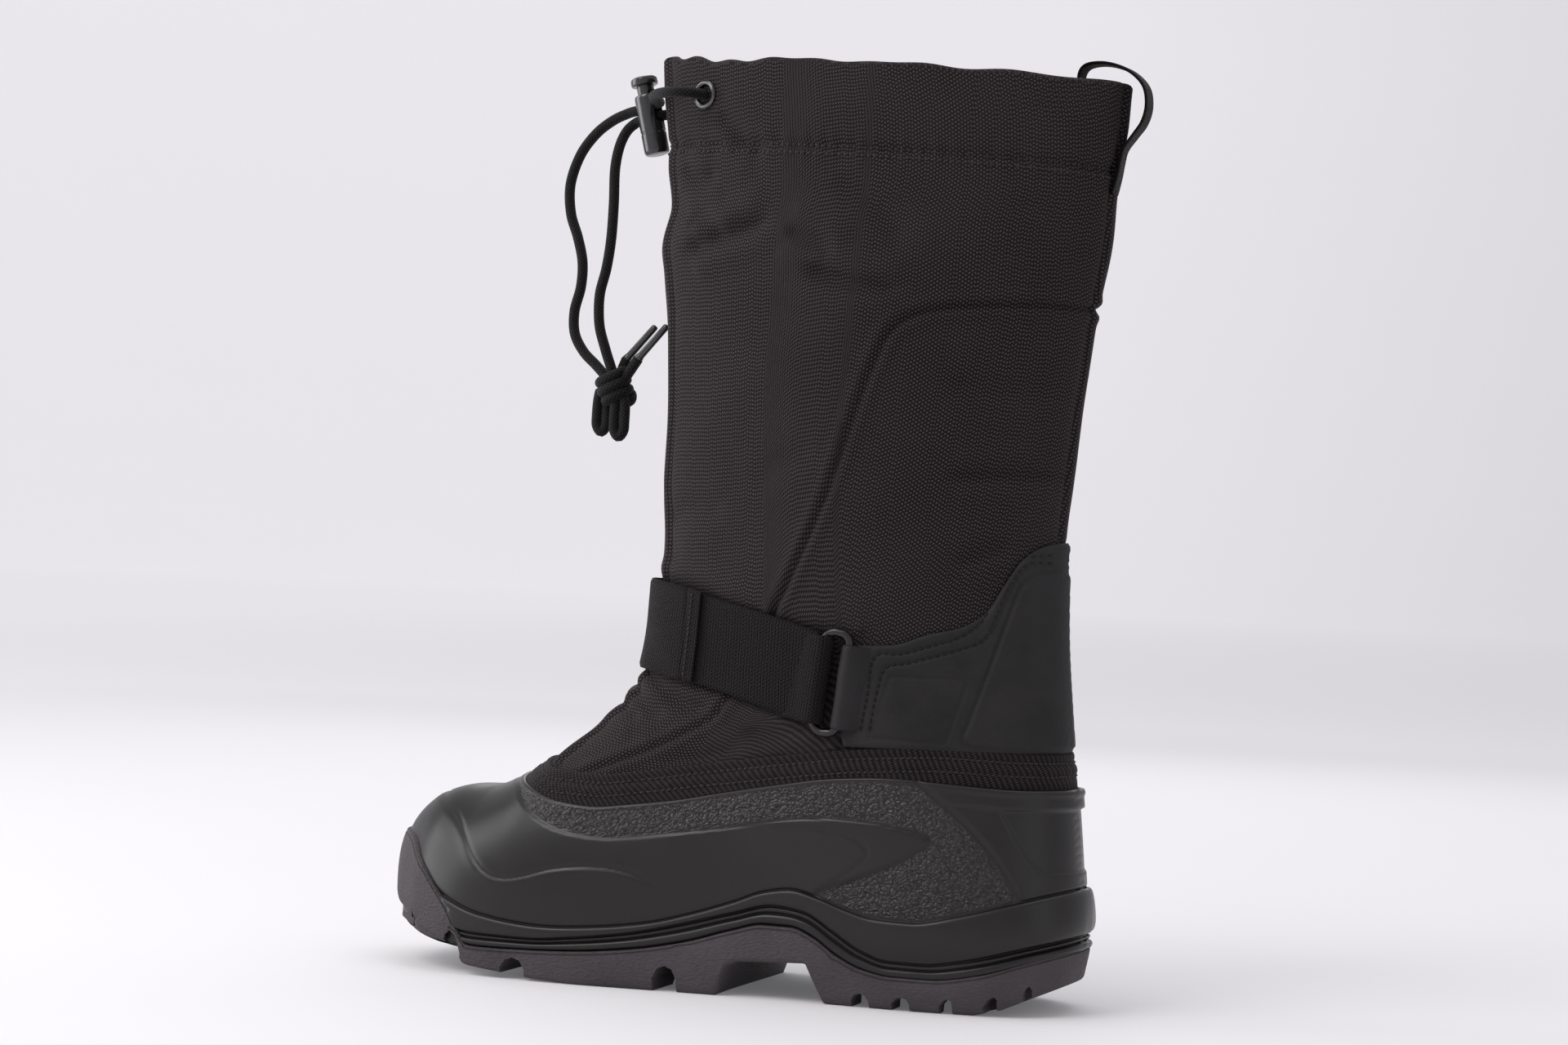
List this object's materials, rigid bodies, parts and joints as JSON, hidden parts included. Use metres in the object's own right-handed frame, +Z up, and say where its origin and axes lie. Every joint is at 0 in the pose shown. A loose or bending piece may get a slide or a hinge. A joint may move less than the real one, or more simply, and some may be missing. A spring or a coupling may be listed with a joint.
{
  "type": "snow boot",
  "caption": "Tall left snow boot with a padded fabric shaft, moulded rubber shell, lugged outsole, ankle strap on a ring, heel counter, pull loop and drawcord with a cord lock.",
  "frame": {"origin": "middle of the base: the centre in plan of the boot's box without its free cord, on the ground plane", "axes": "+X to the toe, +Y to the wearer's left, which is the outer side with the ring, +Z up the shaft"},
  "size_m": [0.3274, 0.1136, 0.4012],
  "materials": {
    "outsole_rubber": "matt moulded rubber with a stippled side",
    "shell_rubber": "semi-matt moulded rubber, smooth and pebbled zones",
    "nylon": "coarse plain-weave nylon, padded",
    "insole_felt": "grey felt",
    "counter_leather": "smooth coated leather with embossed lines",
    "webbing": "ribbed woven webbing",
    "ring_metal": "gunmetal plated wire",
    "eyelet_metal": "nickel plated",
    "lock_plastic": "glossy black",
    "cord": "braided round cord",
    "tip_metal": "crimped smooth tip"
  },
  "bodies": {
    "boot": {"outsole": "outsole_rubber", "rubber_shell": "shell_rubber", "upper": "nylon", "insole": "insole_felt", "heel_counter": "counter_leather", "ankle_strap": "webbing", "strap_ring": "ring_metal", "pull_loop": "webbing", "eyelet_outer": "eyelet_metal", "eyelet_inner": "eyelet_metal", "cord_lock_barrel": "lock_plastic", "drawcord_to_lock_outer": "cord", "drawcord_to_lock_inner": "cord", "drawcord_strand_front": "cord", "drawcord_strand_rear": "cord", "drawcord_loop_front": "cord", "drawcord_loop_rear": "cord", "drawcord_tail_front": "cord", "drawcord_tail_rear": "cord", "drawcord_knot": "cord", "cord_tip_front": "tip_metal", "cord_tip_rear": "tip_metal"},
    "lock_button": {"cord_lock_button": "lock_plastic"}
  },
  "joints": [
    {"name": "button_press", "type": "slide", "parent": "boot", "child": "lock_button", "axis": [-0.2419, 0, -0.9703], "range_m": [0, 0.004], "stiffness_N_per_m": 900}
  ]
}
